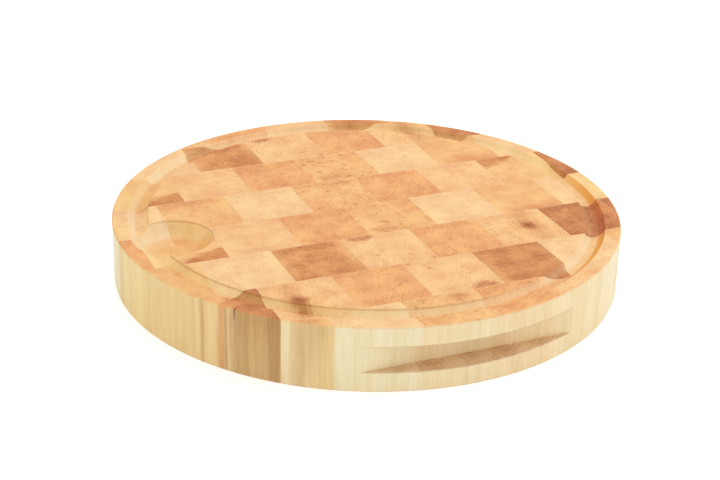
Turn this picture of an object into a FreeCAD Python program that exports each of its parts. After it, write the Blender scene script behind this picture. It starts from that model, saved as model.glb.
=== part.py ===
import FreeCAD, Part
import math
import os
import Sketcher
from FreeCAD import Vector

# Round end-grain chopping block.
#
# Two laminated panels were crosscut into strips. Every second strip was turned end for end and set
# about half a block over, the strips were glued side by side with their end grain up, and the slab
# was then turned round and routed: a juice groove near the rim, a juice well that the groove drains
# into, and a finger grip in the front and in the back edge.
#
# Frame, in millimetres: origin at the centre of the underside, +Z up through the end grain, +X along
# the strips, +Y across them towards the back. The juice well is on -X and the grips face -Y and +Y.

DIMENSIONS = [
    # alias, value, what it is
    ("block_diameter", 400.0, "across the turned rim"),
    ("block_thickness", 50.0, "along the grain"),
    ("edge_ease", 1.0, "radius sanded on the two rim edges"),
    ("routed_ease", 0.8, "radius sanded on the edges that routing left"),
    ("strip_width", 54.35, "one strip, across the grain rows"),
    ("strip_seam", 6.55, "the strip seam nearest the centre"),
    ("stave_width", 56.6, "one block, along its strip"),
    ("seam_straight", 14.0, "stave seam nearest the centre, in strips left as cut"),
    ("seam_turned", -17.0, "the same seam in strips turned end for end"),
    ("groove_diameter", 360.0, "juice groove, centre line"),
    ("groove_width", 15.0, "juice groove at the top surface"),
    ("groove_depth", 5.0, "juice groove at its middle"),
    ("well_offset", 160.0, "juice well, from the centre of the block"),
    ("well_diameter", 62.0, "juice well at the top surface"),
    ("well_depth", 11.0, "juice well at its flat floor"),
    ("well_cove", 20.0, "radius between the well's floor and rim"),
    ("grip_depth", 18.0, "finger grip, into the rim at its middle"),
    ("grip_floor", 15.0, "finger grip's floor above the underside"),
    ("grip_height", 20.0, "finger grip, floor to ceiling"),
]

# How far each strip slid along X as the strips were glued, from the back strip to the front one.
STRIP_SLIPS = [0.0, -2.4, -1.0, 0.0, 0.0, 0.0, 0.9, 0.6]

STRIPS_BEHIND_CENTRE_SEAM = 4
STAVES_EACH_WAY = 5

# How exactly two radii or two places have to match, in millimetres, and the blocks' whole volume,
# as a share of the slab's.
SAME_RADIUS = 0.01
SAME_PLACE = 0.1
SAME_VOLUME = 1e-5


def make_sheet(doc):
    """Put the driving dimensions in a spreadsheet, each with its alias."""
    sheet = doc.addObject("Spreadsheet::Sheet", "dims")
    slips = [
        (slip_alias(number), slip, "strip slid along X")
        for number, slip in enumerate(STRIP_SLIPS, start=1)
    ]
    for row, (alias, value, meaning) in enumerate(DIMENSIONS + slips, start=1):
        sheet.set(f"A{row}", meaning)
        sheet.set(f"B{row}", str(value))
        sheet.setAlias(f"B{row}", alias)
    doc.recompute()
    return sheet


def slip_alias(strip_number):
    """Name of the cell that holds one strip's slip."""
    return f"slip_strip{strip_number}"


def origin_plane(body, role):
    """One of the body's own origin planes, such as XY_Plane."""
    return next(item for item in body.Origin.OriginFeatures if item.Role == role)


def new_sketch(body, name, role):
    """An empty sketch on one of the body's origin planes."""
    sketch = body.newObject("Sketcher::SketchObject", name)
    sketch.AttachmentSupport = [(origin_plane(body, role), "")]
    sketch.MapMode = "FlatFace"
    return sketch


def bind(sketch, name, kind, geometry, expression, start):
    """Add a named dimension to the sketch and bind it to the sheet."""
    index = sketch.addConstraint(Sketcher.Constraint(kind, *geometry, start))
    sketch.renameConstraint(index, name)
    sketch.setExpression(f"Constraints.{name}", expression)


def cut_volume(doc, body, feature, before):
    """Recompute and make sure that a cutting feature took wood away."""
    doc.recompute()
    if not feature.Shape.Volume < before:
        raise RuntimeError(f"{feature.Name} cut nothing")
    body.Tip = feature
    return feature.Shape.Volume


def round_edges(shape, radius):
    """Names of the full round edges of one radius."""
    return [
        f"Edge{index}"
        for index, edge in enumerate(shape.Edges, start=1)
        if isinstance(edge.Curve, Part.Circle)
        and math.isclose(edge.Curve.Radius, radius, abs_tol=SAME_RADIUS)
    ]


def turn_disc(doc, body, sheet):
    """The glued panel turned to a disc, with its two rim edges eased."""
    sketch = new_sketch(body, "disc_outline", "XY_Plane")
    circle = sketch.addGeometry(Part.Circle(Vector(), Vector(0, 0, 1), sheet.block_diameter / 2))
    sketch.addConstraint(Sketcher.Constraint("Coincident", circle, 3, -1, 1))
    bind(sketch, "across", "Diameter", (circle,), "dims.block_diameter", sheet.block_diameter)

    disc = body.newObject("PartDesign::Pad", "disc")
    disc.Profile = sketch
    disc.setExpression("Length", "dims.block_thickness")
    doc.recompute()

    eased = body.newObject("PartDesign::Fillet", "eased_rim")
    eased.Base = (disc, round_edges(disc.Shape, sheet.block_diameter / 2))
    eased.setExpression("Radius", "dims.edge_ease")
    return cut_volume(doc, body, eased, disc.Shape.Volume)


def rout_juice_groove(doc, body, sheet, before):
    """The round-bottomed groove: the path of a ball-nosed cutter once round the block."""
    half_width = sheet.groove_width / 2
    cutter = (half_width**2 + sheet.groove_depth**2) / (2 * sheet.groove_depth)
    height = sheet.block_thickness - sheet.groove_depth + cutter

    sketch = new_sketch(body, "groove_cutter", "XZ_Plane")
    centre = Vector(sheet.groove_diameter / 2, height, 0)
    circle = sketch.addGeometry(Part.Circle(centre, Vector(0, 0, 1), cutter))
    cutter_radius = "(dims.groove_width ^ 2 / 4 + dims.groove_depth ^ 2) / (2 * dims.groove_depth)"
    bind(sketch, "cutter", "Radius", (circle,), cutter_radius, cutter)
    bind(sketch, "out", "DistanceX", (-1, 1, circle, 3), "dims.groove_diameter / 2", centre.x)
    rise = f"dims.block_thickness - dims.groove_depth + {cutter_radius}"
    bind(sketch, "up", "DistanceY", (-1, 1, circle, 3), rise, centre.y)

    groove = body.newObject("PartDesign::Groove", "juice_groove")
    groove.Profile = sketch
    groove.ReferenceAxis = (sketch, ["V_Axis"])
    groove.Angle = 360
    return cut_volume(doc, body, groove, before)


def rout_juice_well(doc, body, sheet, before):
    """The round dish that the groove drains into: a flat floor with a coved wall."""
    floor = sheet.block_thickness - sheet.well_depth
    top = floor + sheet.well_cove
    wall_run = math.sqrt(sheet.well_cove**2 - (sheet.well_cove - sheet.well_depth) ** 2)
    flat = sheet.well_diameter / 2 - wall_run
    cove_centre = Vector(flat, top, 0)
    cove_side = Vector(flat + sheet.well_cove, top, 0)

    sketch = new_sketch(body, "well_cutter", "XZ_Plane")
    sketch.setExpression("AttachmentOffset.Base.x", "-dims.well_offset")
    axis = sketch.addGeometry(Part.LineSegment(Vector(0, top, 0), Vector(0, floor, 0)))
    bottom = sketch.addGeometry(Part.LineSegment(Vector(0, floor, 0), Vector(flat, floor, 0)))
    whole_cove = Part.Circle(cove_centre, Vector(0, 0, 1), sheet.well_cove)
    cove = sketch.addGeometry(Part.ArcOfCircle(whole_cove, -math.pi / 2, 0))
    lid = sketch.addGeometry(Part.LineSegment(cove_side, Vector(0, top, 0)))

    for join in [(axis, 2, bottom, 1), (cove, 2, lid, 1), (lid, 2, axis, 1)]:
        sketch.addConstraint(Sketcher.Constraint("Coincident", *join))
    sketch.addConstraint(Sketcher.Constraint("Tangent", bottom, 2, cove, 1))
    sketch.addConstraint(Sketcher.Constraint("Vertical", axis))
    sketch.addConstraint(Sketcher.Constraint("Horizontal", bottom))
    sketch.addConstraint(Sketcher.Constraint("Horizontal", lid))
    sketch.addConstraint(Sketcher.Constraint("Horizontal", cove, 3, cove, 2))
    sketch.addConstraint(Sketcher.Constraint("PointOnObject", axis, 2, -2))
    bind(sketch, "cove", "Radius", (cove,), "dims.well_cove", sheet.well_cove)
    rise = "dims.block_thickness - dims.well_depth"
    bind(sketch, "floor", "DistanceY", (-1, 1, bottom, 1), rise, floor)
    run = "sqrt(dims.well_cove ^ 2 - (dims.well_cove - dims.well_depth) ^ 2)"
    bind(sketch, "flat", "DistanceX", (bottom, 1, bottom, 2), f"dims.well_diameter / 2 - {run}", flat)

    well = body.newObject("PartDesign::Groove", "juice_well")
    well.Profile = sketch
    well.ReferenceAxis = (sketch, ["V_Axis"])
    well.Angle = 360
    return cut_volume(doc, body, well, before)


def cut_finger_grips(doc, body, sheet, before):
    """A straight slot along the front edge, flat at its back, and its twin behind."""
    radius = sheet.block_diameter / 2
    wall = sheet.grip_depth - radius
    outside = wall - 2 * sheet.grip_depth
    low = sheet.grip_floor
    high = sheet.grip_floor + sheet.grip_height
    corners = [Vector(outside, low, 0), Vector(wall, low, 0)]
    corners += [Vector(wall, high, 0), Vector(outside, high, 0)]

    sketch = new_sketch(body, "grip_cutter", "YZ_Plane")
    sides = [
        sketch.addGeometry(Part.LineSegment(start, end))
        for start, end in zip(corners, corners[1:] + corners[:1])
    ]
    for side, following in zip(sides, sides[1:] + sides[:1]):
        sketch.addConstraint(Sketcher.Constraint("Coincident", side, 2, following, 1))
    for index, side in enumerate(sides):
        direction = "Vertical" if index % 2 else "Horizontal"
        sketch.addConstraint(Sketcher.Constraint(direction, side))
    back = "dims.block_diameter / 2 - dims.grip_depth"
    bind(sketch, "back_wall", "DistanceX", (sides[1], 1, -1, 1), back, -wall)
    run = "2 * dims.grip_depth"
    bind(sketch, "reach", "DistanceX", (sides[0], 1, sides[0], 2), run, wall - outside)
    bind(sketch, "floor", "DistanceY", (-1, 1, sides[0], 2), "dims.grip_floor", low)
    bind(sketch, "opening", "DistanceY", (sides[1], 1, sides[1], 2), "dims.grip_height", high - low)

    front = body.newObject("PartDesign::Pocket", "front_grip")
    front.Profile = sketch
    front.Type = "ThroughAll"
    front.Midplane = True
    after_front = cut_volume(doc, body, front, before)

    back_grip = body.newObject("PartDesign::Mirrored", "back_grip")
    back_grip.Originals = [front]
    back_grip.MirrorPlane = (origin_plane(body, "XZ_Plane"), [""])
    return cut_volume(doc, body, back_grip, after_front)


def routed_edges(shape, sheet):
    """Names of the sharp edges round the groove and the well, and round both grips' mouths."""
    rim = sheet.block_diameter / 2
    grip_ceiling = sheet.grip_floor + sheet.grip_height
    names = []
    for index, edge in enumerate(shape.Edges, start=1):
        first, last = edge.ParameterRange
        points = [edge.valueAt(place) for place in (first, (first + last) / 2, last)]
        reach = [math.hypot(point.x, point.y) for point in points]
        heights = [point.z for point in points]
        on_top = min(heights) > sheet.block_thickness - sheet.routed_ease
        round_routing = on_top and max(reach) < rim - 2 * sheet.edge_ease
        above_floor = min(heights) > sheet.grip_floor - SAME_PLACE
        below_ceiling = max(heights) < grip_ceiling + SAME_PLACE
        round_mouth = above_floor and below_ceiling and min(reach) > rim - SAME_PLACE
        if round_routing or round_mouth:
            names.append(f"Edge{index}")
    return names


def ease_routed_edges(doc, body, sheet, before):
    """Sand the routed edges a little round."""
    routed = body.Tip
    eased = body.newObject("PartDesign::Fillet", "eased_routing")
    eased.Base = (routed, routed_edges(routed.Shape, sheet))
    eased.setExpression("Radius", "dims.routed_ease")
    return cut_volume(doc, body, eased, before)


def make_slab(doc, sheet):
    """The whole block as one turned and routed slab, before it is divided into its blocks."""
    body = doc.addObject("PartDesign::Body", "slab")
    volume = turn_disc(doc, body, sheet)
    volume = rout_juice_groove(doc, body, sheet, volume)
    volume = rout_juice_well(doc, body, sheet, volume)
    volume = cut_finger_grips(doc, body, sheet, volume)
    ease_routed_edges(doc, body, sheet, volume)
    return body


def reaches_disc(left, front, sheet):
    """Whether a stave's rectangle, given by its left front corner, meets the turned disc."""
    near_x = max(left, min(0.0, left + sheet.stave_width))
    near_y = max(front, min(0.0, front + sheet.strip_width))
    return math.hypot(near_x, near_y) < sheet.block_diameter / 2


def make_strip(doc, sheet, slab, strip_number):
    """One strip's blocks, from left to right: square staves that share the slab's outer cuts."""
    turned = strip_number % 2 == 1
    seam = "seam_turned" if turned else "seam_straight"
    slip = slip_alias(strip_number)
    rows_up = STRIPS_BEHIND_CENTRE_SEAM - strip_number
    front = sheet.strip_seam + rows_up * sheet.strip_width
    blocks = []
    for step in range(-STAVES_EACH_WAY, STAVES_EACH_WAY + 1):
        left = getattr(sheet, seam) + getattr(sheet, slip) + step * sheet.stave_width
        if not reaches_disc(left, front, sheet):
            continue
        name = f"strip{strip_number}_block{len(blocks) + 1}"
        stave = doc.addObject("Part::Box", f"{name}_stave")
        stave.setExpression("Length", "dims.stave_width")
        stave.setExpression("Width", "dims.strip_width")
        stave.setExpression("Height", "dims.block_thickness")
        along = f"dims.{seam} + dims.{slip} + ({step}) * dims.stave_width"
        stave.setExpression("Placement.Base.x", along)
        across = f"dims.strip_seam + ({rows_up}) * dims.strip_width"
        stave.setExpression("Placement.Base.y", across)
        block = doc.addObject("Part::Common", name)
        block.Label = name
        block.Base = stave
        block.Tool = slab
        blocks.append(block)
    return blocks


def check_document(doc, blocks):
    """Stop if any object failed, or a block is empty or broken."""
    for item in doc.Objects:
        if "Invalid" in item.State or "Error" in item.State:
            raise RuntimeError(f"{item.Name} failed: {item.State}")
    for block in blocks:
        if block.Shape.isNull() or not block.Shape.isValid() or len(block.Shape.Solids) != 1:
            raise RuntimeError(f"{block.Label} is not one sound solid")


def write_blocks(blocks):
    """Write each block's solid to a file of its own name."""
    os.makedirs("parts", exist_ok=True)
    for block in blocks:
        block.Shape.exportStep(os.path.join("parts", f"{block.Label}.step"))


def main():
    doc = FreeCAD.newDocument("chopping_block")
    sheet = make_sheet(doc)
    slab = make_slab(doc, sheet)
    blocks = []
    for strip_number in range(1, len(STRIP_SLIPS) + 1):
        blocks += make_strip(doc, sheet, slab, strip_number)
    doc.recompute()
    check_document(doc, blocks)

    whole = slab.Shape.Volume
    parted = sum(block.Shape.Volume for block in blocks)
    print(f"{len(blocks)} blocks, slab {whole / 1000:.1f} cm3, blocks together {parted / 1000:.1f} cm3")
    if not math.isclose(whole, parted, rel_tol=SAME_VOLUME):
        raise RuntimeError("the blocks do not add up to the slab")
    write_blocks(blocks)


main()
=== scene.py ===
import math

import bpy
from mathutils import Matrix, Vector


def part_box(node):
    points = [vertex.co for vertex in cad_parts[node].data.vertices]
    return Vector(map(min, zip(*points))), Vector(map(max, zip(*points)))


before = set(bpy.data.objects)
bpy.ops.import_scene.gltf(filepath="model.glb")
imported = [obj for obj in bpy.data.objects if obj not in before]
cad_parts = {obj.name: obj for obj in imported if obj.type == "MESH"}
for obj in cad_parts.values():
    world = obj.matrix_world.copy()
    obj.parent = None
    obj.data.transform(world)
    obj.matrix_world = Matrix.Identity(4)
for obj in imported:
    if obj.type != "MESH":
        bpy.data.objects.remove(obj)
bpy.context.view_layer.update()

# Round end-grain chopping block: the finish of its glued blocks, the studio and the camera.
# Lengths are metres, unless a name or a comment says millimetres. The origin is the middle of the
# underside, +X runs along the glued strips away from the juice well, and +Y points to the back.

MM = 0.001


# ---------------------------------------------------------------- colours and nodes

WHITE = "#FFFFFF"

# The inputs of a Mix node share their names, so they are reached by number.
SHARE, NUMBER_1, NUMBER_2, VECTOR_1, VECTOR_2, COLOUR_1, COLOUR_2 = 0, 2, 3, 4, 5, 6, 7


def linear(hex_colour):
    """Turn an sRGB hex colour into the linear RGBA that shader sockets take, by the standard's curve."""
    channels = [int(hex_colour[place:place + 2], 16) / 255 for place in (1, 3, 5)]
    curve = [c / 12.92 if c <= 0.04045 else ((c + 0.055) / 1.055) ** 2.4 for c in channels]
    return (*curve, 1.0)


def add(tree, kind, inputs=(), **settings):
    """Add one node with its settings, its inputs filled in their order, or by the keys of a dict.

    An input is given a value, a socket, or a node, which stands for its first result.
    """
    made = tree.nodes.new("ShaderNode" + kind)
    for name, value in settings.items():
        setattr(made, name, value)
    for key, value in inputs.items() if isinstance(inputs, dict) else enumerate(inputs):
        if isinstance(value, bpy.types.Node):
            value = next(output for output in value.outputs if output.enabled)
        if isinstance(value, bpy.types.NodeSocket):
            tree.links.new(value, made.inputs[key])
        else:
            made.inputs[key].default_value = value
    return made


def new_tree(owner):
    """Switch a material or a world to nodes and clear its tree."""
    owner.use_nodes = True
    owner.node_tree.nodes.clear()
    return owner.node_tree


# ---------------------------------------------------------------- the sticks that the blocks were cut from

# Wood tones: end grain light and deep, then long grain light and deep. Oil soaks into end grain, so
# it is deeper and more orange than the long grain that the rim, the groove and the grips lay open.
TONES = {
    "cream_sapwood": ("#FFD699", "#F2BD86", "#FDEEC9", "#EEDAA6"),
    "pale_sapwood": ("#FDCE91", "#EFB177", "#FCEAC0", "#EED4A0"),
    "honey_sapwood": ("#FBC883", "#EAA969", "#F8DB9E", "#E8C486"),
    "golden_sapwood": ("#FABC78", "#E59960", "#FBE2A2", "#EFCC88"),
    "amber_wood": ("#FABC78", "#E59960", "#FFEBC0", "#F2D29C"),
    "tawny_heartwood": ("#EDA562", "#C5773E", "#DBB076", "#AF824C"),
    "red_heartwood": ("#E09458", "#B46634", "#D6AC72", "#A97C48"),
    "brown_stain": ("#F0AA6E", "#C27A46", "#D0A068", "#A87842"),
    "knot": ("#CC7438", "#9C5420", "#A5703C", "#7F4C22"),
    "straw_sapwood": ("#FFD992", "#F3C77E", "#FDEEC8", "#ECD8A2"),
    "orange_streak": ("#EE9D60", "#E0884E", "#F0B070", "#DC9656"),
    "crack": ("#54361F", "#54361F", "#54361F", "#54361F"),
}
END_GRAIN = slice(0, 2)
LONG_GRAIN = slice(2, 4)

# Half the height of a mark that runs along the whole stick: far more than a stick is long.
WHOLE_STICK_MM = 1e6


class Mark:
    """A knot, stain or streak in a stick: an oval in millimetres from the stick's centre.

    strength is how much of the wood's colour it takes over, edge is how soft its outline is, and turn
    is the angle of its long side in degrees. heights gives its middle and half its height in one
    block. Without them it runs along the whole stick.
    """

    def __init__(self, tone, centre, half_size, strength=1.0, edge=0.5, turn=0,
                 heights=(0, WHOLE_STICK_MM)):
        self.tone = tone
        self.centre = centre
        self.half_size = half_size
        self.strength = strength
        self.edge = edge
        self.turn = turn
        self.heights = heights


class Stick:
    """One long stick of a panel, in millimetres from its centre, +X and +Y as in an unturned strip.

    tone colours its end grain and side_tone its long grain. pith is the middle of its growth rings,
    ring is their spacing, figure is how strongly they show, and flecks is how strongly its brown pith
    flecks show, from 0 to 1.
    """

    def __init__(self, tone, side_tone, pith, ring=2.6, figure=0.35, flecks=0.2, marks=()):
        self.tone = tone
        self.side_tone = side_tone
        self.pith = pith
        self.ring = ring
        self.figure = figure
        self.flecks = flecks
        self.marks = marks


PANELS = {
    "brown": [
        Stick("honey_sapwood", "honey_sapwood", (60, 110)),
        Stick("cream_sapwood", "cream_sapwood", (-30, -160)),
        Stick("tawny_heartwood", "tawny_heartwood", (-12, -95), ring=2.2, figure=0.4, marks=[
            Mark("honey_sapwood", (-31, 0), (7, 40), 0.6, edge=0.9),
            Mark("honey_sapwood", (30, 0), (7, 40), 0.6, edge=0.9),
        ]),
        Stick("pale_sapwood", "pale_sapwood", (90, -60), marks=[
            Mark("brown_stain", (-14, 25.5), (10, 6), edge=0.3),
            Mark("brown_stain", (11.5, -14), (2.2, 1.6), 0.9, edge=0.8),
            Mark("brown_stain", (25, -25), (2.2, 1.6), 0.8, edge=0.8),
            Mark("brown_stain", (-12, -8), (2.0, 1.5), 0.6, edge=0.8),
        ]),
        Stick("amber_wood", "amber_wood", (-75, 60), ring=2.4, figure=0.45, flecks=0.5),
        Stick("pale_sapwood", "pale_sapwood", (-80, 20), flecks=0.5, marks=[
            Mark("honey_sapwood", (6, 4), (20, 30), 0.8, edge=0.9),
            Mark("brown_stain", (8, 4), (8, 24), 0.6, edge=0.8),
            Mark("knot", (6, 1), (5.5, 6), edge=0.8),
        ]),
        Stick("red_heartwood", "red_heartwood", (-60, 70), ring=2.2, figure=0.4),
        Stick("red_heartwood", "tawny_heartwood", (40, 90), figure=0.4),
    ],
    "pale": [
        Stick("cream_sapwood", "cream_sapwood", (-120, 20), marks=[
            Mark("straw_sapwood", (-26, 0), (16, 60), 0.9, edge=0.7),
        ]),
        Stick("honey_sapwood", "honey_sapwood", (70, 120), marks=[
            Mark("amber_wood", (-8, 26), (26, 14), 0.8, edge=0.8),
            Mark("brown_stain", (-14, 24), (18, 6), 0.35, edge=0.9),
        ]),
        Stick("cream_sapwood", "cream_sapwood", (30, -150)),
        Stick("honey_sapwood", "pale_sapwood", (-90, -40), flecks=0.9, marks=[
            Mark("brown_stain", (15, 20), (9, 5), 0.5, edge=0.8),
            Mark("amber_wood", (-18, -12), (14, 16), 0.6, edge=0.9),
        ]),
        Stick("amber_wood", "amber_wood", (-60, 70), ring=2.4, figure=0.45, flecks=0.6, marks=[
            Mark("tawny_heartwood", (5, -16), (26, 13), 0.1, edge=0.9),
        ]),
        Stick("pale_sapwood", "pale_sapwood", (20, 130), ring=3.6),
        Stick("pale_sapwood", "honey_sapwood", (-14, 96), marks=[
            Mark("honey_sapwood", (0, 0), (40, 40), edge=0.9),
            Mark("straw_sapwood", (28, -6), (20, 40), 0.8, edge=0.8),
            Mark("tawny_heartwood", (-15.8, 25), (30, 12.5), edge=0.2, turn=27),
        ]),
        Stick("red_heartwood", "red_heartwood", (80, 60), ring=3.6, figure=0.4),
    ],
}

# Each strip, from the back: the panel it was crosscut from, the stick at its left end, and +1 where it
# lies as it was cut or -1 where it was turned end for end.
STRIPS = [
    ("brown", 5, -1),
    ("brown", 0, 1),
    ("pale", 7, -1),
    ("pale", 0, 1),
    ("pale", 7, -1),
    ("brown", 0, 1),
    ("brown", 6, -1),
    ("pale", 1, 1),
]
# The next strip of a panel was cut this much further along its sticks.
SLICE_MM = 53.0

# Marks that only one block shows, such as a drying crack that opens at the top of the rim.
BLOCK_MARKS = {
    "strip3_block1": [Mark("golden_sapwood", (-28, 22), (12, 20))],
    "strip5_block1": [Mark("golden_sapwood", (-24, 0), (17, 40))],
    "strip6_block7": [Mark("knot", (7.6, -1), (6, 34), 0.4, edge=0.8, turn=-25)],
    "strip7_block1": [
        Mark("amber_wood", (14, -10), (16, 14), 0.6, edge=0.6, turn=-50),
        Mark("honey_sapwood", (10, -20.5), (9.5, 16), edge=0.2, turn=-50),
        Mark("honey_sapwood", (-12.3, 11.0), (6, 24), 0.35, edge=0.8, turn=44, heights=(0, 30)),
        Mark("tawny_heartwood", (14.5, -23.8), (6, 1.5), 0.7, edge=0.8, turn=32),
        Mark("orange_streak", (4.6, -9.8), (8, 2.0), 0.8, edge=0.8, turn=37),
        Mark("tawny_heartwood", (2.6, -6.4), (6, 0.8), 0.7, edge=0.8, turn=38),
        Mark("honey_sapwood", (1.1, -4.3), (6, 0.9), 0.8, edge=0.8, turn=38),
        Mark("crack", (-3.3, -2.1), (5.0, 0.45), edge=0.4, turn=40, heights=(50, 9)),
    ],
    "strip7_block2": [
        Mark("brown_stain", (8, 16), (8, 8), 0.6, edge=0.9),
        Mark("knot", (8.5, 12.5), (5, 4), 0.9, edge=0.9),
    ],
    "strip8_block1": [
        Mark("brown_stain", (13.9, 16.2), (6, 16), 0.4, edge=0.8, turn=56, heights=(50, 30)),
    ],
    "strip7_block5": [Mark("red_heartwood", (0, 0), (40, 40), 0.55)],
}

block_boxes = {name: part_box(name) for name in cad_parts}
STAVE_WIDTH = max(high.x - low.x for low, high in block_boxes.values())
STRIP_WIDTH = max(high.y - low.y for low, high in block_boxes.values())


def stave_centre(name):
    """Middle of the square stave that a block was cut from.

    The rim only cuts away what lies far from the middle of the board, so the block's two glue faces
    that are nearest to it are whole.
    """
    low, high = block_boxes[name]
    x = low.x + STAVE_WIDTH / 2 if low.x > 0 else high.x - STAVE_WIDTH / 2
    y = low.y + STRIP_WIDTH / 2 if low.y > 0 else high.y - STRIP_WIDTH / 2
    return Vector((x, y, 0))


def stick_of(name):
    """The stick that a block was cut from, how far along it in millimetres, and how the block is turned."""
    strip, block = [int(number) for number in name.removeprefix("strip").split("_block")]
    panel, first_stick, step = STRIPS[strip - 1]
    stick = PANELS[panel][first_stick + step * (block - 1)]
    return stick, strip * SLICE_MM, math.pi if step < 0 else 0


# ---------------------------------------------------------------- the grain

# What soft noise draws: its size across the grain in millimetres, how much a length along each axis
# counts, and how many finer layers lie over it. A length along the grain counts for little, so that
# clouds and pores turn into long streaks down a stick.
WANDER = (30.0, (1, 1, 0.2), 5)
CLOUDS = (18.0, (1, 1, 0.05), 5)
FLECKS = (5.0, (1, 1, 0.1), 4)
RAGS = (5.0, (1, 1, 0.1), 4)
SWAY = (26.0, (1, 1, 1), 2)
BANDS = (6.0, (1, 1, 0.015), 3)
# Pores are really about 0.1 mm across and fibres finer still; they are drawn at the finest that shows.
PORES = (1.4, (1, 1, 0.04), 2)
FIBRES = (1.0, (1, 1, 0.02), 2)
# Along the growth rings the axes run outwards, round and along. Streaks are finer than the rings.
RING_PATCHES = (9.0, (1, 0.5, 0.04), 2)
RING_STREAKS = ((1, 0.11, 0.04), 3)
STREAKS_PER_RING = 1.6

# How far noise pushes the rings, the fibres and the outlines of marks about.
WANDER_MM = 6.0
SWAY_MM = 2.2
RAG_MM = 2.5

# The part of each noise that shows, and how far it shifts the colour between light and deep.
CLOUD_RANGE = (0.3, 0.7)
FLECK_RANGE = (0.56, 0.68)
PORE_RANGE = (0.25, 0.75)
PORE_SHIFT = (-0.45, 0.45)
BAND_RANGE = (0.3, 0.7)
FIBRE_RANGE = (0.3, 0.7)
FIBRE_SHIFT = (-0.2, 0.2)
RING_PATCH_RANGE = (0.35, 0.65)
RING_STREAK_RANGE = (0.3, 0.7)
RING_STREAK_SHIFT = (-0.5, 0.5)
# The share of the end grain's clouds and rings that the long grain shows too.
CLOUDY_SHARE = 0.35

# A wave texture at scale 1 draws its rings this far apart.
WAVE_SPACING = math.pi / 10
# Noise and waves run from 0 to 1, round this middle.
MIDDLE = 0.5
# What a vector is multiplied by to keep its level part alone.
LEVEL = (1, 1, 0)


def stretched_noise(tree, place, size_mm, stretch, layers, output="Fac"):
    """Soft noise of one size, drawn out by stretch along each axis."""
    scaled = add(tree, "VectorMath", (place, stretch), operation="MULTIPLY")
    noise = add(tree, "TexNoise", {"Vector": scaled, "Scale": 1 / size_mm, "Detail": layers})
    return noise.outputs[output]


def pushed_about(tree, place, noise, reach_mm):
    """Move a place across the grain by up to a reach, as noise of its own says."""
    push = stretched_noise(tree, place, *noise, "Color")
    push = add(tree, "VectorMath", (push, (MIDDLE, MIDDLE, MIDDLE)), operation="SUBTRACT")
    push = add(tree, "VectorMath", (push, (2 * reach_mm, 2 * reach_mm, 0)), operation="MULTIPLY")
    return add(tree, "VectorMath", (place, push), operation="ADD")


def growth_rings(tree, place, stick):
    """Uneven ring lines round the pith: an even saw of rings, and streaks drawn out along them."""
    from_pith = add(tree, "VectorMath", (place, (*stick.pith, 0)), operation="SUBTRACT")
    parts = add(tree, "SeparateXYZ", (from_pith,))
    outwards = add(tree, "VectorMath", (from_pith, LEVEL), operation="MULTIPLY")
    radius = add(tree, "VectorMath", (outwards,), operation="LENGTH")
    angle = add(tree, "Math", (parts.outputs["X"], parts.outputs["Y"]), operation="ARCTAN2")
    run = add(tree, "Math", (angle, math.hypot(*stick.pith)), operation="MULTIPLY")
    unrolled = add(tree, "CombineXYZ", (radius, run, parts.outputs["Z"]))
    streaks = stretched_noise(tree, unrolled, stick.ring / STREAKS_PER_RING, *RING_STREAKS)
    streaks = add(tree, "MapRange", (streaks, *RING_STREAK_RANGE, *RING_STREAK_SHIFT))
    patches = stretched_noise(tree, unrolled, *RING_PATCHES)
    patches = add(tree, "MapRange", (patches, *RING_PATCH_RANGE))
    lines = add(tree, "TexWave", {
        "Vector": from_pith,
        "Scale": WAVE_SPACING / stick.ring,
    }, wave_type="RINGS", rings_direction="Z", wave_profile="SAW").outputs["Fac"]
    lines = add(tree, "Math", (lines, MIDDLE), operation="SUBTRACT")
    lines = add(tree, "Math", (lines, patches), operation="MULTIPLY")
    shade = add(tree, "Math", (lines, streaks), operation="ADD")
    return add(tree, "Math", (shade, stick.figure), operation="MULTIPLY")


def end_grain_depth(tree, cloudy, pores, cutter_rings):
    """How deep the end grain's colour is, from 0 to 1: clouds and growth rings, pores, cutter marks."""
    pores = add(tree, "MapRange", (pores, *PORE_RANGE, *PORE_SHIFT))
    depth = add(tree, "Math", (cloudy, pores), operation="ADD")
    return add(tree, "Math", (depth, cutter_rings), operation="ADD", use_clamp=True)


def long_grain_depth(tree, place, cloudy):
    """How deep the long grain's colour is, from 0 to 1: bands and fibres that sway down the stick."""
    swaying = pushed_about(tree, place, SWAY, SWAY_MM)
    bands = stretched_noise(tree, swaying, *BANDS)
    bands = add(tree, "MapRange", (bands, *BAND_RANGE))
    fibres = stretched_noise(tree, swaying, *FIBRES)
    fibres = add(tree, "MapRange", (fibres, *FIBRE_RANGE, *FIBRE_SHIFT))
    depth = add(tree, "Mix", {SHARE: CLOUDY_SHARE, NUMBER_1: bands, NUMBER_2: cloudy})
    return add(tree, "Math", (depth, fibres), operation="ADD", use_clamp=True)


def wood_colour(tree, tone, grain, depth):
    """Colour of one tone's end grain or long grain, light to deep."""
    light, deep = [linear(colour) for colour in TONES[tone][grain]]
    return add(tree, "Mix", {SHARE: depth, COLOUR_1: light, COLOUR_2: deep}, data_type="RGBA")


def mark_strength(tree, mark, ragged, rings, slice_mm):
    """How strongly a mark shows, with a ragged outline that follows the rings."""
    middle, half_height = mark.heights
    oval = add(tree, "Mapping", {
        "Vector": ragged,
        "Location": (*mark.centre, slice_mm + middle),
        "Rotation": (0, 0, math.radians(mark.turn)),
        "Scale": (*mark.half_size, half_height),
    }, vector_type="TEXTURE")
    reach = add(tree, "VectorMath", (oval,), operation="LENGTH")
    reach = add(tree, "Math", (reach, rings), operation="SUBTRACT")
    outline = (1 + mark.edge, 1 - mark.edge)
    return add(tree, "MapRange", (reach, *outline, 0, mark.strength), interpolation_type="SMOOTHSTEP")


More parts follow.
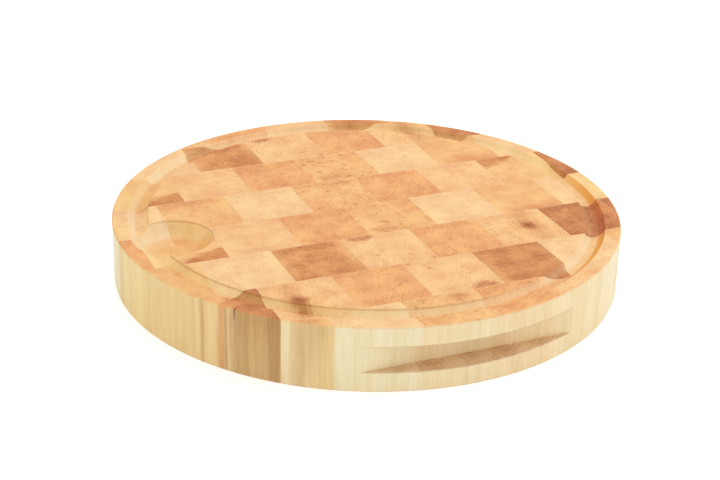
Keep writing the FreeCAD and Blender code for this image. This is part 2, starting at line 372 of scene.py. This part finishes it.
# ---------------------------------------------------------------- cuts, oil and glue

# Flat cuts lay open end grain and upright cuts long grain. Each pair is the upright part of the
# surface's normal where that begins to show, and where nothing else does.
FLAT_CUT = (0.88, 0.995)
UPRIGHT_CUT = (0.35, 0.1)

# The router's cutter left rings about 0.3 mm apart round the groove; they are drawn at 1.1 mm.
CUTTER_MARK_MM = 1.1
CUTTER_MARK_SHIFT = (-0.3, 0.3)
CUTTER_MARK_WOBBLE = 1.5
ROUTED_HEIGHTS = (0.0385, 0.0495)
GROOVE_MIDDLE = 0.180
WELL_MIDDLE = (-0.160, 0, 0)
WELL_RADIUS = 0.031

# Slanting cuts show end and long grain at once, soaked to a straw yellow.
SLANT_SHARE = 0.45
SOAKED_GAMMA = 0.8
SOAKED_CUT = "#FFFAE4"
# Painted light on the walls: those that face away from this bearing get a painted pale sheen, and
# those that face it get painted amber shade. A range says how squarely a wall faces a bearing where
# the effect sets in and where it is full.
SHADED_WALL_BEARING = math.radians(138)
PAINTED_SHEEN_RANGE = (-0.1, -0.6)
PAINTED_SHEEN_GAMMA = 0.8
PAINTED_SHEEN_SHARE = 0.4
PAINTED_SHADE_RANGE = (0.5, 0.9)
PAINTED_SHADE_TINT = "#F3CC74"
# Painted shade: the amber covers the outer side of the groove fully, and the other walls more the deeper
# they are.
SHADE_DEPTH_HEIGHTS = (0.049, 0.043)
SHADE_DEPTH_SHARES = (0.1, 0.55)
# Painted shade: the inner lips that face the front left are darkened.
LIP_HEIGHTS = (0.0488, 0.04998)
LIP_BEARING = math.radians(215)
LIP_RANGE = (0.1, 0.7)
LIP_SHARE = 0.4
LIP_PAINTED_SHADE = "#C8A468"
# Painted shade: the end grain of the grips' floor and ceiling is painted a duller, browner tone.
GRIP_HEIGHTS = (0.012, 0.038)
GRIP_SHADE_SHARE = 0.8
GRIP_SHADE_TONES = ("#ECD6B2", "#CAA87C")

# Glue lines are really about 0.2 mm wide; each block is drawn with a 0.4 mm margin.
GLUE_LINE_MM = 0.4
GLUE_LINE = "#FBE0B0"
GLUE_LINE_SHARE = 0.4

# Sanded and oiled wood has a satin sheen, duller on the end grain. Open pores swallow half of it.
END_GRAIN_ROUGHNESS = 0.5
LONG_GRAIN_ROUGHNESS = 0.34
SHEEN = 0.25
OIL_IOR = 1.46
PORE_RELIEF = 0.15
PORE_DEPTH_MM = 0.2


def between(tree, value, limits):
    """1 where a value lies between two limits, and 0 elsewhere."""
    above = add(tree, "Math", (value, limits[0]), operation="GREATER_THAN")
    below = add(tree, "Math", (value, limits[1]), operation="LESS_THAN")
    return add(tree, "Math", (above, below), operation="MULTIPLY")


def cutter_marks(tree, level_place, height):
    """Fine rings that the router's cutter left round the groove and round the juice well."""
    from_well = add(tree, "VectorMath", (level_place, WELL_MIDDLE), operation="SUBTRACT")
    reach = add(tree, "VectorMath", (from_well,), operation="LENGTH")
    in_well = add(tree, "Math", (reach, WELL_RADIUS), operation="LESS_THAN")
    centred = add(tree, "Mix", {
        SHARE: in_well, VECTOR_1: level_place, VECTOR_2: from_well,
    }, data_type="VECTOR")
    rings = add(tree, "TexWave", {
        "Vector": centred,
        "Scale": WAVE_SPACING / (CUTTER_MARK_MM * MM),
        "Distortion": CUTTER_MARK_WOBBLE,
    }, wave_type="RINGS", rings_direction="Z").outputs["Fac"]
    rings = add(tree, "MapRange", (rings, 0, 1, *CUTTER_MARK_SHIFT))
    return add(tree, "Math", (rings, between(tree, height, ROUTED_HEIGHTS)), operation="MULTIPLY")


def facing(tree, outwards, bearing, limits, most=1.0):
    """How strongly something shows on the walls that face a bearing, from 0 at one limit to most."""
    toward = (math.cos(bearing), math.sin(bearing), 0)
    squarely = add(tree, "VectorMath", (outwards, toward), operation="DOT_PRODUCT")
    return add(tree, "MapRange", (squarely, *limits, 0, most), interpolation_type="SMOOTHSTEP")


def slanting_cut(tree, end_grain, long_grain, outwards, from_axis, height):
    """Colour of the walls of the groove and the well: straw yellow, a painted pale sheen and painted amber
    shade.
    """
    walls = add(tree, "Mix", {
        SHARE: SLANT_SHARE, COLOUR_1: end_grain, COLOUR_2: long_grain,
    }, data_type="RGBA")
    walls = add(tree, "Gamma", (walls, SOAKED_GAMMA))
    walls = add(tree, "Mix", {
        SHARE: 1.0, COLOUR_1: walls, COLOUR_2: linear(SOAKED_CUT),
    }, data_type="RGBA", blend_type="MULTIPLY")

    # painted sheen: walls that face away from the shaded bearing are painted pale
    painted_sheen = facing(tree, outwards, SHADED_WALL_BEARING, PAINTED_SHEEN_RANGE)
    pale = add(tree, "Gamma", (end_grain, PAINTED_SHEEN_GAMMA))
    pale = add(tree, "Mix", {
        SHARE: PAINTED_SHEEN_SHARE, COLOUR_1: pale, COLOUR_2: long_grain,
    }, data_type="RGBA")
    walls = add(tree, "Mix", {SHARE: painted_sheen, COLOUR_1: walls, COLOUR_2: pale}, data_type="RGBA")

    # painted shade: amber on walls that face the shaded bearing, all over the groove's outer side and more
    # the deeper the other walls go
    outer = add(tree, "Math", (from_axis, GROOVE_MIDDLE), operation="GREATER_THAN")
    deep = add(tree, "MapRange", (height, *SHADE_DEPTH_HEIGHTS, *SHADE_DEPTH_SHARES))
    shade_share = add(tree, "Math", (outer, deep), operation="MAXIMUM")
    painted_shade = facing(tree, outwards, SHADED_WALL_BEARING, PAINTED_SHADE_RANGE, shade_share)
    amber = add(tree, "Mix", {
        SHARE: 1.0, COLOUR_1: end_grain, COLOUR_2: linear(PAINTED_SHADE_TINT),
    }, data_type="RGBA", blend_type="MULTIPLY")
    return add(tree, "Mix", {SHARE: painted_shade, COLOUR_1: walls, COLOUR_2: amber}, data_type="RGBA")


def painted_lip_shade(tree, outwards, from_axis, height):
    """Where painted shade darkens the lips inside the groove and round the well."""
    inside = add(tree, "Math", (from_axis, GROOVE_MIDDLE), operation="LESS_THAN")
    lips = add(tree, "Math", (inside, between(tree, height, LIP_HEIGHTS)), operation="MULTIPLY")
    shaded_side = facing(tree, outwards, LIP_BEARING, LIP_RANGE, LIP_SHARE)
    return add(tree, "Math", (shaded_side, lips), operation="MULTIPLY")


def glue_lines(tree, place):
    """Where the glue shows along a stave's four faces. The place is in millimetres from its centre."""
    from_middle = add(tree, "VectorMath", (place,), operation="ABSOLUTE")
    sides = add(tree, "SeparateXYZ", (from_middle,))
    lines = []
    for axis, width in (("X", STAVE_WIDTH), ("Y", STRIP_WIDTH)):
        face = width / 2 / MM
        limits = (face - GLUE_LINE_MM, face)
        lines.append(add(tree, "MapRange", (sides.outputs[axis], *limits, 0, GLUE_LINE_SHARE)))
    return add(tree, "Math", lines, operation="MAXIMUM")


def oiled_birch(name):
    """Birch for one block, sawn, routed, sanded and rubbed with oil.

    To the eye: warm peach end grain on top, with faint ring arcs, clouds and brown stains; paler,
    straight streaks where the long grain is laid open; a soft satin sheen; hair-thin pale glue lines.
    """
    stick, slice_mm, turn = stick_of(name)
    material = bpy.data.materials.new(f"oiled_birch_{name}")
    tree = new_tree(material)

    # the place in millimetres from the stick's own centre, turned as its strip was turned
    here = add(tree, "TexCoord")
    local = add(tree, "Mapping", {
        "Vector": here.outputs["Object"],
        "Location": stave_centre(name) - Vector((0, 0, slice_mm * MM)),
        "Rotation": (0, 0, turn),
        "Scale": (MM, MM, MM),
    }, vector_type="TEXTURE")

    # the height above the underside, and the distance from the middle of the board
    height = add(tree, "SeparateXYZ", (here.outputs["Object"],)).outputs["Z"]
    level_place = add(tree, "VectorMath", (here.outputs["Object"], LEVEL), operation="MULTIPLY")
    from_axis = add(tree, "VectorMath", (level_place,), operation="LENGTH")

    # how deep the wood's colour is
    rings = growth_rings(tree, pushed_about(tree, local, WANDER, WANDER_MM), stick)
    clouds = stretched_noise(tree, local, *CLOUDS)
    clouds = add(tree, "MapRange", (clouds, *CLOUD_RANGE))
    cloudy = add(tree, "Math", (clouds, rings), operation="ADD")
    pores = stretched_noise(tree, local, *PORES)
    end_depth = end_grain_depth(tree, cloudy, pores, cutter_marks(tree, level_place, height))
    long_depth = long_grain_depth(tree, local, cloudy)
    end_grain = wood_colour(tree, stick.tone, END_GRAIN, end_depth)
    long_grain = wood_colour(tree, stick.side_tone, LONG_GRAIN, long_depth)

    # brown pith flecks, scattered
    flecks = stretched_noise(tree, local, *FLECKS)
    flecks = add(tree, "MapRange", (flecks, *FLECK_RANGE, 0, stick.flecks))
    brown = wood_colour(tree, "tawny_heartwood", END_GRAIN, end_depth)
    end_grain = add(tree, "Mix", {SHARE: flecks, COLOUR_1: end_grain, COLOUR_2: brown}, data_type="RGBA")

    # stains, knots and streaks
    ragged = pushed_about(tree, local, RAGS, RAG_MM)
    for mark in [*stick.marks, *BLOCK_MARKS.get(name, [])]:
        shown = mark_strength(tree, mark, ragged, rings, slice_mm)
        end_mark = wood_colour(tree, mark.tone, END_GRAIN, end_depth)
        end_grain = add(tree, "Mix", {
            SHARE: shown, COLOUR_1: end_grain, COLOUR_2: end_mark,
        }, data_type="RGBA")
        long_mark = wood_colour(tree, mark.tone, LONG_GRAIN, long_depth)
        long_grain = add(tree, "Mix", {
            SHARE: shown, COLOUR_1: long_grain, COLOUR_2: long_mark,
        }, data_type="RGBA")

    # painted shade: duller, browner end grain in the grips
    in_grip = between(tree, height, GRIP_HEIGHTS)
    grip_shade = add(tree, "Math", (in_grip, GRIP_SHADE_SHARE), operation="MULTIPLY")
    light, deep = [linear(colour) for colour in GRIP_SHADE_TONES]
    shaded_grip_wood = add(tree, "Mix", {SHARE: end_depth, COLOUR_1: light, COLOUR_2: deep}, data_type="RGBA")
    end_grain = add(tree, "Mix", {SHARE: grip_shade, COLOUR_1: end_grain, COLOUR_2: shaded_grip_wood}, data_type="RGBA")

    # flat cuts lay open end grain, upright cuts long grain, and slanting cuts both
    normal = here.outputs["Normal"]
    outwards = add(tree, "VectorMath", (normal, LEVEL), operation="MULTIPLY")
    outwards = add(tree, "VectorMath", (outwards,), operation="NORMALIZE")
    across = add(tree, "SeparateXYZ", (normal,)).outputs["Z"]
    across = add(tree, "Math", (across,), operation="ABSOLUTE")
    flat = add(tree, "MapRange", (across, *FLAT_CUT), interpolation_type="SMOOTHSTEP")
    upright = add(tree, "MapRange", (across, *UPRIGHT_CUT), interpolation_type="SMOOTHSTEP")
    wood = slanting_cut(tree, end_grain, long_grain, outwards, from_axis, height)
    wood = add(tree, "Mix", {SHARE: flat, COLOUR_1: wood, COLOUR_2: end_grain}, data_type="RGBA")
    wood = add(tree, "Mix", {SHARE: upright, COLOUR_1: wood, COLOUR_2: long_grain}, data_type="RGBA")

    # painted shade on the inner lips that face the front left
    lips = painted_lip_shade(tree, outwards, from_axis, height)
    wood = add(tree, "Mix", {
        SHARE: lips, COLOUR_1: wood, COLOUR_2: linear(LIP_PAINTED_SHADE),
    }, data_type="RGBA", blend_type="MULTIPLY")
    wood = add(tree, "Mix", {
        SHARE: glue_lines(tree, local), COLOUR_1: wood, COLOUR_2: linear(GLUE_LINE),
    }, data_type="RGBA")

    roughness = add(tree, "MapRange", (flat, 0, 1, LONG_GRAIN_ROUGHNESS, END_GRAIN_ROUGHNESS))
    relief = add(tree, "Bump", {
        "Height": pores, "Strength": PORE_RELIEF, "Distance": PORE_DEPTH_MM * MM,
    })
    surface = add(tree, "BsdfPrincipled", {
        "Base Color": wood,
        "Roughness": roughness,
        "IOR": OIL_IOR,
        "Specular IOR Level": SHEEN,
        "Normal": relief,
    })
    add(tree, "OutputMaterial", {"Surface": surface})
    return material


for block_name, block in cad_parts.items():
    block.data.materials.clear()
    block.data.materials.append(oiled_birch(block_name))


# ---------------------------------------------------------------- studio and camera

FLOOR_SIZE = 12.0
# A little glow and a full white sky for the camera alone bring the background to white.
FLOOR_GLOW = 0.35
SKY_STRENGTH = 0.72

# Each lamp's name, its bearing from +X and its height in degrees, and its power in watts.
LAMPS = [
    ("soft_lamp_right", -10, 25, 4.8),
    ("soft_lamp_front", -110, 25, 2.4),
    ("soft_lamp_left", 160, 25, 2.0),
    ("soft_lamp_back", 60, 58, 5.2),
]
LAMP_DISTANCE = 1.6
LAMP_SIZE = 0.9


def studio_floor():
    """A plain white floor that the block stands on and casts a faint shadow on."""
    bpy.ops.object.select_all(action="DESELECT")
    bpy.ops.mesh.primitive_plane_add(size=FLOOR_SIZE)
    floor = bpy.context.object
    floor.name = "studio_floor"
    material = bpy.data.materials.new("white_floor_paint")
    tree = new_tree(material)
    paint = add(tree, "BsdfDiffuse", {"Color": linear(WHITE)})
    seen = add(tree, "LightPath").outputs["Is Camera Ray"]
    strength = add(tree, "Math", (seen, FLOOR_GLOW), operation="MULTIPLY")
    glow = add(tree, "Emission", {"Color": linear(WHITE), "Strength": strength})
    both = add(tree, "AddShader", (paint, glow))
    add(tree, "OutputMaterial", {"Surface": both})
    floor.data.materials.append(material)


def studio_light():
    """Even white light from all round, and broad soft lamps on four sides."""
    world = bpy.data.worlds.new("white_studio")
    tree = new_tree(world)
    seen = add(tree, "LightPath").outputs["Is Camera Ray"]
    strength = add(tree, "MapRange", (seen, 0, 1, SKY_STRENGTH, 1))
    sky = add(tree, "Background", {"Color": linear(WHITE), "Strength": strength})
    add(tree, "OutputWorld", {"Surface": sky})
    bpy.context.scene.world = world

    for name, bearing, height, power in LAMPS:
        raised = Matrix.Rotation(math.radians(-height), 3, "Y") @ Vector((1, 0, 0))
        toward = Matrix.Rotation(math.radians(bearing), 3, "Z") @ raised
        bpy.ops.object.light_add(type="AREA", location=toward * LAMP_DISTANCE)
        lamp = bpy.context.object
        lamp.name = name
        lamp.rotation_euler = toward.to_track_quat("Z", "Y").to_euler()
        lamp.data.shape = "SQUARE"
        lamp.data.size = LAMP_SIZE
        lamp.data.energy = power


# The camera stands in front and to the left of the block, above it, and looks down at it. Its aim is
# turned a little to one side of the middle of the block.
CAMERA_BEARING = math.radians(-24.01)
CAMERA_OFFSET = 1.0834
CAMERA_HEIGHT = 0.5287
CAMERA_AIM = math.radians(0.25)
CAMERA_PITCH = math.radians(25.08)
CAMERA_ROLL = math.radians(1.52)
CAMERA_LENS_MM = 74.55


def photo_camera():
    """A camera that sees the block as the photograph does."""
    place = Matrix.Rotation(CAMERA_BEARING, 3, "Z") @ Vector((0, -CAMERA_OFFSET, CAMERA_HEIGHT))
    bpy.ops.object.camera_add(location=place)
    camera = bpy.context.object
    camera.name = "photo_camera"
    heading = Matrix.Rotation(CAMERA_BEARING + CAMERA_AIM, 3, "Z")
    tilt = Matrix.Rotation(math.pi / 2 - CAMERA_PITCH, 3, "X")
    roll = Matrix.Rotation(CAMERA_ROLL, 3, "Z")
    camera.rotation_euler = (heading @ tilt @ roll).to_euler()
    camera.data.lens = CAMERA_LENS_MM
    bpy.context.scene.camera = camera


studio_floor()
studio_light()
photo_camera()
bpy.context.scene.view_settings.view_transform = "Standard"
